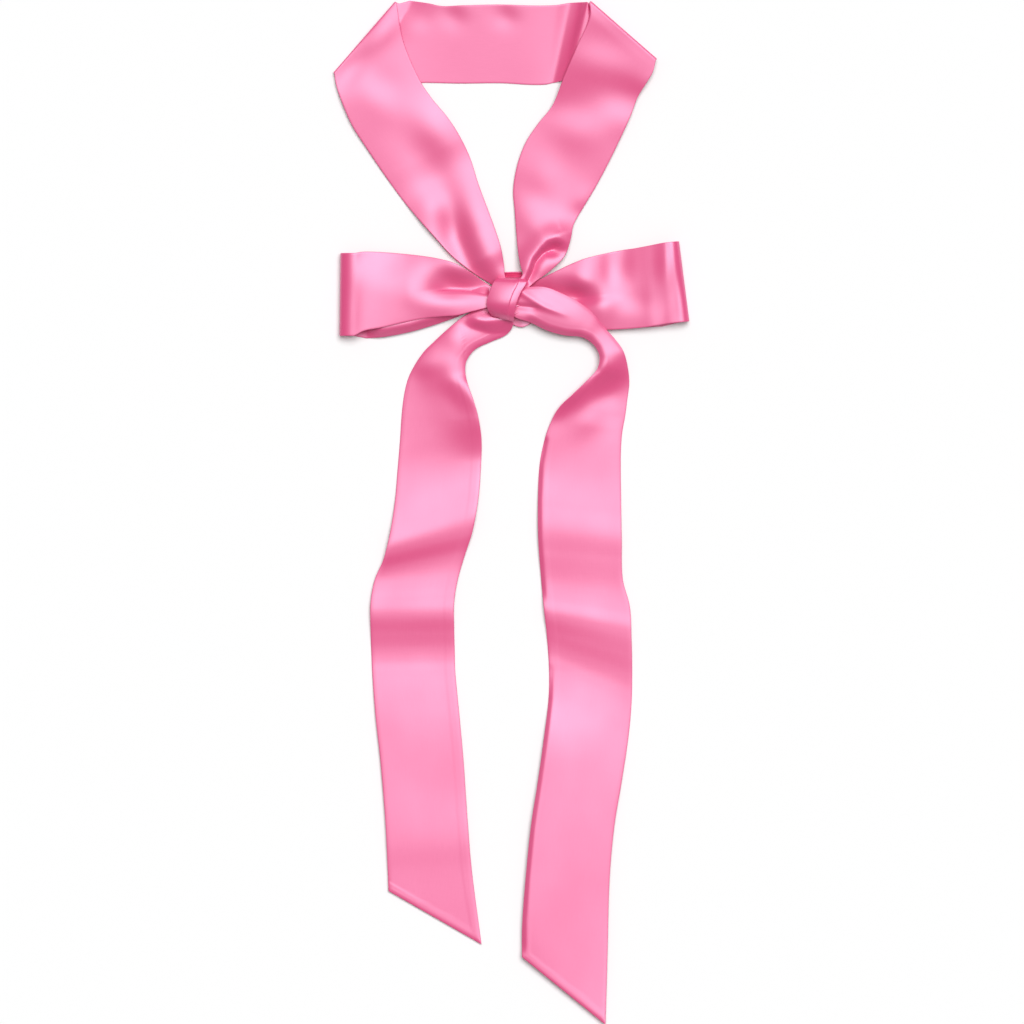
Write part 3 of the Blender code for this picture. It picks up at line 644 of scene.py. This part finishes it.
TAIL_RIGHT = [
    Row(0.5, -6.0, 8.0, 6.0, 4.0, 8.0),
    Row(4.4, -11.4, 8.0, 12.0, 6.2, 8.2, 0.8),
    Row(13.6, -14.6, 7.8, 22.0, 6.4, 8.8, 1.4),
    Row(24.0, -19.6, 7.8, 31.5, 3.0, 8.8, 1.6),
    Row(35.0, -22.6, 7.6, 42.5, -2.5, 8.2, 1.6),
    Row(44.0, -23.4, 7.6, 53.0, -10.6, 6.8, 1.0),
    Row(50.0, -26.2, 7.0, 58.8, -18.4, 5.6, 0.8),
    Row(54.4, -31.0, 7.2, 65.0, -25.4, 5.2, 0.6),
    Row(56.2, -36.5, 7.8, 70.0, -32.6, 5.6, 0.6),
    Row(54.6, -43.5, 8.0, 72.6, -41.8, 3.8, 0.8),
    Row(48.0, -50.8, 7.4, 73.6, -51.6, 1.9, -0.4),
    Row(39.5, -59.0, 6.0, 72.4, -62.0, 0.9, -1.2),
    Row(31.5, -66.8, 4.4, 71.1, -72.0, 0.6, -0.9),
    Row(26.5, -75.6, 2.4, 69.4, -81.5, 0.5, 0.4),
    Row(22.5, -87.0, 1.4, 68.6, -91.0, 0.5, 0.9),
    Row(19.6, -102.0, 1.0, 68.4, -102.5, 0.5, 0.9),
    Row(18.6, -123.0, 1.2, 68.6, -123.0, FLAT, 0.4),
    Row(18.8, -147.5, 1.2, 69.0, -147.5, FLAT),
    Row(20.4, -169.5, 1.0, 69.6, -171.0, FLAT),
    Row(22.0, -187.5, 0.8, 74.0, -188.5, FLAT),
    Row(24.0, -205.5, FLAT, 75.0, -208.5, FLAT),
    Row(25.4, -227.0, FLAT, 75.4, -228.0, FLAT),
    Row(25.0, -245.0, 0.9, 75.0, -247.5, FLAT),
    Row(22.5, -266.5, 2.2, 73.0, -268.5, FLAT),
    Row(18.6, -294.5, 2.7, 69.0, -295.0, FLAT),
    Row(14.2, -323.0, 2.9, 64.4, -323.0, FLAT),
    Row(11.0, -355.0, 2.5, 61.5, -356.5, FLAT),
    Row(9.0, -382.0, 2.0, 60.4, -398.0, FLAT),
    Row(8.8, -401.8, 1.4, 59.2, -442.6, FLAT),
]
TAIL_RIGHT_WAVES = [
    Wave(-66.0, -72.0, 0.0),
    Wave(-80.5, -86.5, 0.1),
    Wave(-105.0, -111.0, 0.5),
    Wave(-125.0, -131.0, 1.7),
    Wave(-140.0, -146.0, 2.5),
    Wave(-155.0, -160.0, 2.0),
    Wave(-174.0, -179.5, 1.35),
    Wave(-183.0, -192.0, 1.65),
    Wave(-190.5, -200.5, 2.15),
    Wave(-194.0, -205.0, 2.05),
    Wave(-203.0, -218.5, 1.25),
    Wave(-211.0, -230.0, 0.45),
    Wave(-216.5, -238.0, 0.12),
    Wave(-222.0, -245.0, 0.1),
    Wave(-239.0, -263.5, 0.6),
    Wave(-257.5, -282.0, 1.5),
    Wave(-300.0, -320.0, 2.2),
    Wave(-349.0, -367.0, 2.7),
    Wave(-392.0, -410.0, 2.9),
    Wave(-445.0, -450.0, 2.9),
]
TAIL_RIGHT_CREASES = [
    Crease([(5, 5.5), (14, -0.6), (20, -4.9), (40, -12.5)], 3.0, 2.0, 1.2, 0.4),
    Crease([(5, -5.0), (12, -5.5), (24, -7.0)], 2.0, 3.0, -1.4, 0.2),
    Crease([(13.6, -14.6), (24, -19.6), (35, -22.6), (44, -23.4), (50, -26.2), (54.4, -31),
            (56.2, -36.5), (54.6, -43.5), (48, -50.8), (39.5, -59), (31.5, -66.8)],
           2.2, 2.0, -1.6, 0.3),
    Crease([(22.5, -87), (19.6, -102), (18.6, -123), (18.8, -147.5), (20.4, -169.5),
            (22, -187.5)],
           1.3, 1.3, -1.2, 0.0, 0.1),
    Crease([(25.4, -227), (25, -245), (22.5, -266.5), (18.6, -294.5), (14.2, -323), (11, -355),
            (9, -382), (8.8, -401.8)],
           1.3, 1.3, -1.5, 0.0, 0.05),
]
TAIL_RIGHT_LEANS = [
    Lean(34.0, -64.0, 14, 9, 48, 0.12),
    Lean(57.0, -63.0, 17, 9, 48, -0.15),
]

left_grid = creased(waved(cloth_rows(TAIL_LEFT), TAIL_LEFT_WAVES), TAIL_LEFT_CREASES)
left_grid = sewn_tail(leaned(left_grid, TAIL_LEFT_LEANS), seam_at_b=True)
left_tail = cloth_piece("left_tail_cloth", left_grid, ["tail_left"])
right_grid = creased(waved(cloth_rows(TAIL_RIGHT), TAIL_RIGHT_WAVES), TAIL_RIGHT_CREASES)
right_grid = sewn_tail(leaned(right_grid, TAIL_RIGHT_LEANS), seam_at_b=False)
right_tail = cloth_piece("right_tail_cloth", right_grid, ["tail_right"])

# Knot.
# The ribbon goes over the gathered middle of the bow and down between the two neck stretches, and
# pulls everything together. A tongue of the hidden layers shows below it.
KNOT_FINE = 0.6            # spacing of the sections along the ribbon here, mm
KNOT_GATHERS = 5           # flutes across the gathered ribbon
KNOT_GATHER_DEEP = 1.9     # half their height, mm
KNOT_GATHER_UNEVEN = 0.25  # how far that height varies
KNOT_GATHER_SWING = 7      # how quickly it varies across the ribbon, radians
KNOT_BAND = [
    Row(-1.6, 15.5, 4.0, 8.0, 15.7, 4.0),
    Row(-2.0, 14.3, 2.2, 8.2, 14.5, 2.2),
    Row(-3.0, 13.3, 1.4, 8.6, 13.5, 1.4),
    Row(-4.6, 12.4, 3.4, 9.0, 12.4, 3.6),
    Row(-5.6, 11.9, 6.6, 9.6, 11.9, 7.0),
    Row(-6.8, 11.2, 9.4, 10.4, 11.0, 10.0, 0.8),
    Row(-8.4, 9.6, 10.6, 11.0, 9.2, 11.4, 1.0),
    Row(-11.1, 3.2, 11.4, 7.3, 2.6, 12.6, 1.6),
    Row(-12.7, -3.0, 11.2, 4.6, -4.5, 13.0, 1.8),
    Row(-12.0, -7.2, 9.8, 3.6, -10.5, 11.2, 1.6),
    Row(-9.8, -10.6, 7.2, 2.9, -14.2, 7.8, 1.0),
]
KNOT_BAND_PLEATS = [
    Pleat(0.20, 0.45, 1.60, 0.74, 0.80, 0.5, 0.9, 0.06),
]
KNOT_TUCK = [
    Row(-2.0, -12.0, 1.4, 0.0, -6.5, 1.4),
    Row(4.0, -16.4, 1.6, 4.0, -9.0, 1.6),
    Row(9.0, -17.4, 2.0, 8.6, -10.6, 2.0),
    Row(13.6, -15.4, 1.8, 12.8, -11.6, 1.8),
]
KNOT_CORE = [
    Row(-9.5, -8.5, 5.2, -9.5, 8.5, 4.6),
    Row(-4.0, -10.0, 6.4, -4.0, 10.5, 5.8),
    Row(1.0, -11.0, 6.8, 1.0, 11.5, 6.2),
    Row(6.0, -10.0, 6.4, 6.0, 10.5, 5.8),
    Row(9.5, -8.0, 5.0, 9.5, 8.0, 4.6),
]

wrap_grid = cloth_rows(KNOT_BAND, KNOT_BAND_PLEATS, KNOT_FINE)
knot_wrap = cloth_piece("knot_wrap_cloth", wrap_grid, ["knot_band", "knot_under"])
tongue_grid = cloth_rows(KNOT_TUCK, step=KNOT_FINE)
knot_tongue = cloth_piece("knot_tongue_cloth", tongue_grid, ["knot_tuck"])
core_grid = cloth_rows(KNOT_CORE, step=KNOT_FINE)
flutes = np.sin(np.linspace(0, 2 * math.pi * KNOT_GATHERS, WARPS + 1))
uneven = 1 + KNOT_GATHER_UNEVEN * np.cos(np.linspace(0, KNOT_GATHER_SWING, WARPS + 1))
core_grid[:, :, 2] += KNOT_GATHER_DEEP * flutes * uneven
knot_inside = cloth_piece("knot_inside_cloth", core_grid, ["knot_core"])

# Table, light and camera.
# The scarf was photographed from straight above on a white table, in soft light from the neck side.
# The camera is a long lens far off, which keeps the brightness even from the neck to the tails.
TABLE_HALF = 40.0
TABLE_WHITE = (0.93, 0.93, 0.93, 1)
TABLE_ROUGHNESS = 0.9
WINDOW_PLACE = (0.86, 1.84, 5.64)
WINDOW_POWER = 2.92
WINDOW_SPREAD = math.radians(46)
ROOM_WHITE = (1.0, 1.0, 1.0, 1)
ROOM_POWER = 0.20
PHOTO_WIDE = 624.64 * MM
PHOTO_MIDDLE = (2.44 * MM, -130.54 * MM)
EYE_HEIGHT = 9.0
EYE_FAR = 100.0
SENSOR = 36.0

table_mesh = bpy.data.meshes.new("table")
table_corners = [(-TABLE_HALF, -TABLE_HALF, 0), (TABLE_HALF, -TABLE_HALF, 0),
                 (TABLE_HALF, TABLE_HALF, 0), (-TABLE_HALF, TABLE_HALF, 0)]
table_mesh.from_pydata(table_corners, [], [(0, 1, 2, 3)])
table = bpy.data.objects.new("table", table_mesh)
bpy.context.scene.collection.objects.link(table)
white = bpy.data.materials.new("white_table")
white.use_nodes = True
white.node_tree.nodes["Principled BSDF"].inputs["Base Color"].default_value = TABLE_WHITE
white.node_tree.nodes["Principled BSDF"].inputs["Roughness"].default_value = TABLE_ROUGHNESS
table_mesh.materials.append(white)

window_light = bpy.data.lights.new("window", "SUN")
window_light.energy = WINDOW_POWER
window_light.angle = WINDOW_SPREAD
window = bpy.data.objects.new("window", window_light)
window.location = WINDOW_PLACE
window.rotation_euler = (-Vector(WINDOW_PLACE)).to_track_quat("-Z", "Y").to_euler()
bpy.context.scene.collection.objects.link(window)

world = bpy.data.worlds.new("room")
world.use_nodes = True
world.node_tree.nodes["Background"].inputs["Color"].default_value = ROOM_WHITE
world.node_tree.nodes["Background"].inputs["Strength"].default_value = ROOM_POWER
bpy.context.scene.world = world
bpy.context.scene.view_settings.view_transform = "Standard"

eye = bpy.data.cameras.new("photo_view")
eye.type = "PERSP"
eye.sensor_width = SENSOR
eye.lens = SENSOR * EYE_HEIGHT / PHOTO_WIDE
eye.clip_end = EYE_FAR
camera = bpy.data.objects.new("photo_view", eye)
camera.location = (*PHOTO_MIDDLE, EYE_HEIGHT)
bpy.context.scene.collection.objects.link(camera)
bpy.context.scene.camera = camera
